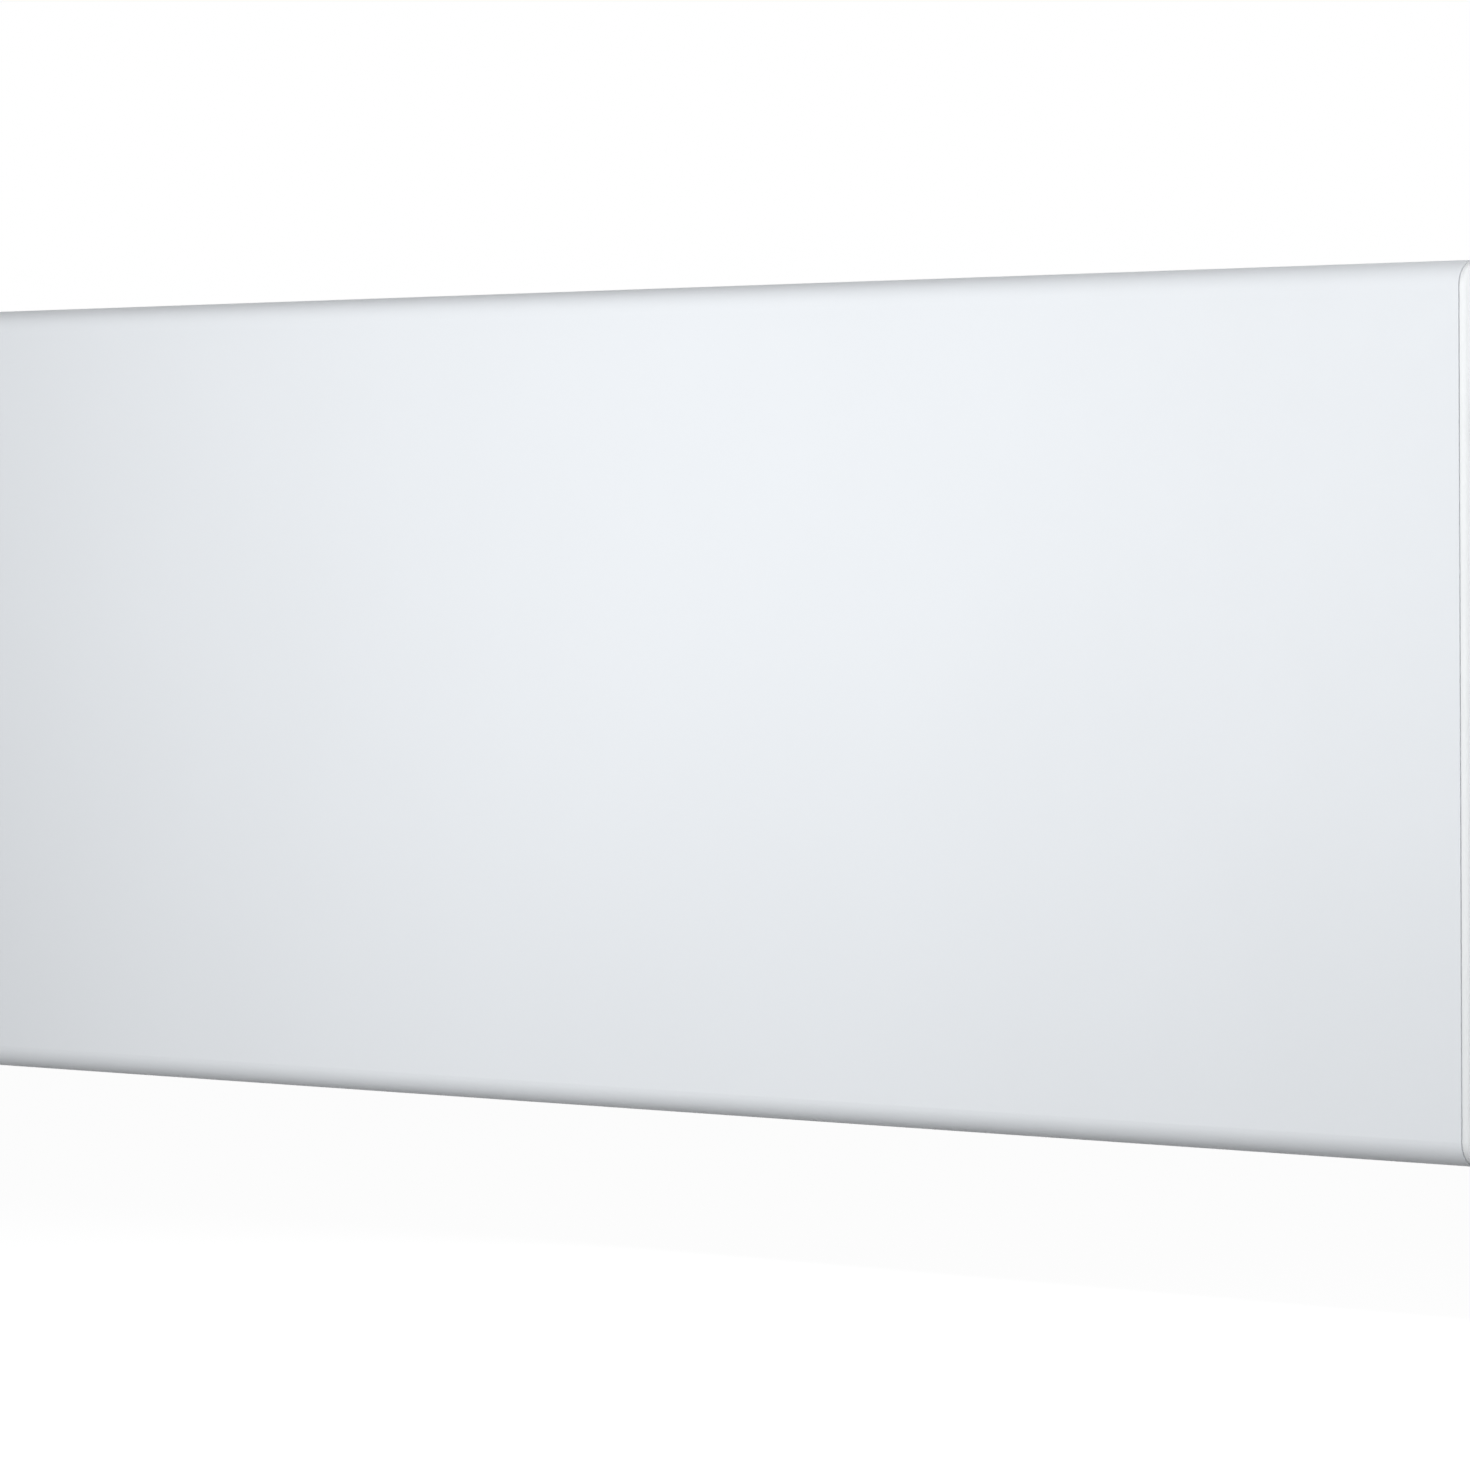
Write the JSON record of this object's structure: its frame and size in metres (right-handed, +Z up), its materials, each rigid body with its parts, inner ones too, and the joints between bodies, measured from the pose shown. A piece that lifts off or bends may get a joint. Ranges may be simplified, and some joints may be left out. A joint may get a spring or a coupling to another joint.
{
  "type": "electric panel heater",
  "caption": "Slim wall-hung electric panel heater: folded steel casing with end caps, finned element, side thermostat dial and a hook-on wall bracket.",
  "frame": {"origin": "centre of the four wall screw holes, on the wall plane", "axes": "+X along the heater towards its control end, +Y into the wall, +Z up"},
  "size_m": [1.0131, 0.084, 0.372],
  "materials": {
    "casing_paint": "smooth white powder coat",
    "cap_plastic": "fine-grained white moulding",
    "zinc_sheet": "galvanised sheet",
    "fastener_zinc": "bright zinc plate",
    "casing_screw": "white-topped screws",
    "element_aluminium": "extruded",
    "rod_steel": "heat-darkened sheath",
    "porcelain": "unglazed",
    "brass": "turned",
    "rubber": "soft black",
    "grommet_rubber": "grey",
    "knob_plastic": "fine matt",
    "switch_plastic": "smooth",
    "rocker_plastic": "smooth",
    "lens_amber": "clear amber",
    "board_laminate": "green solder mask",
    "relay_plastic": "blue",
    "capacitor_sleeve": "black",
    "connector_plastic": "green",
    "pot_plastic": "black",
    "cutout_phenolic": "dark brown",
    "probe_epoxy": "black",
    "clip_plastic": "natural nylon",
    "lead_brown": "silicone",
    "lead_blue": "silicone",
    "lead_black": "silicone",
    "lead_red": "silicone",
    "lead_green": "silicone, yellow stripe",
    "lead_white": "silicone"
  },
  "bodies": {
    "wall_bracket": {"bracket_upright_left": "zinc_sheet", "bracket_upright_right": "zinc_sheet", "bracket_rail_upper": "zinc_sheet", "bracket_rail_lower": "zinc_sheet", "bracket_rivets": "fastener_zinc"},
    "casing": {"front_panel": "casing_paint", "rear_panel": "zinc_sheet", "outlet_grille": "casing_paint", "inlet_grille": "casing_paint", "end_cap_left": "cap_plastic", "end_cap_right": "cap_plastic", "bulkhead_left": "zinc_sheet", "bulkhead_right": "zinc_sheet", "heat_shield": "zinc_sheet", "element_profile": "element_aluminium", "element_rod": "rod_steel", "element_terminals": "brass", "element_bush_upper": "porcelain", "element_bush_lower": "porcelain", "element_carrier": "zinc_sheet", "casing_screws": "casing_screw", "cap_screws": "casing_screw", "casing_rivets": "fastener_zinc", "hanger_left": "zinc_sheet", "hanger_right": "zinc_sheet", "hanger_pin_left": "fastener_zinc", "hanger_pin_right": "fastener_zinc", "wall_bumper_left": "rubber", "wall_bumper_right": "rubber", "cord_grommet": "grommet_rubber", "terminal_block": "porcelain", "terminal_sleeves": "brass", "terminal_screws": "fastener_zinc", "terminal_mount_screws": "fastener_zinc", "earth_screw": "brass", "thermal_cutout": "cutout_phenolic", "control_board": "board_laminate", "board_screws": "fastener_zinc", "board_relay": "relay_plastic", "board_capacitors": "capacitor_sleeve", "board_connector": "connector_plastic", "indicator_led": "lens_amber", "indicator_lens": "lens_amber", "potentiometer_body": "pot_plastic", "switch_body": "switch_plastic", "switch_tabs": "brass", "sensor_probe": "probe_epoxy", "sensor_clip": "clip_plastic", "live_lead": "lead_brown", "switched_lead": "lead_black", "control_lead": "lead_red", "heating_lead": "lead_red", "neutral_lead": "lead_blue", "earth_lead": "lead_green", "sensor_lead": "lead_white"},
    "dial": {"dial_knob": "knob_plastic", "dial_shaft": "fastener_zinc"},
    "power_rocker": {"rocker": "rocker_plastic"}
  },
  "joints": [
    {"name": "casing_tilt", "type": "hinge", "parent": "wall_bracket", "child": "casing", "pos_m": [0, -0.012, 0.12], "axis": [-1, 0, 0], "range_deg": [0, 18]},
    {"name": "thermostat_turn", "type": "hinge", "parent": "casing", "child": "dial", "pos_m": [0.5, -0.054, 0.123], "axis": [-1, 0, 0], "range_deg": [0, 270]},
    {"name": "rocker_press", "type": "hinge", "parent": "casing", "child": "power_rocker", "pos_m": [0.4978, -0.054, 0.069], "axis": [0, -1, 0], "range_deg": [0, 16]}
  ]
}
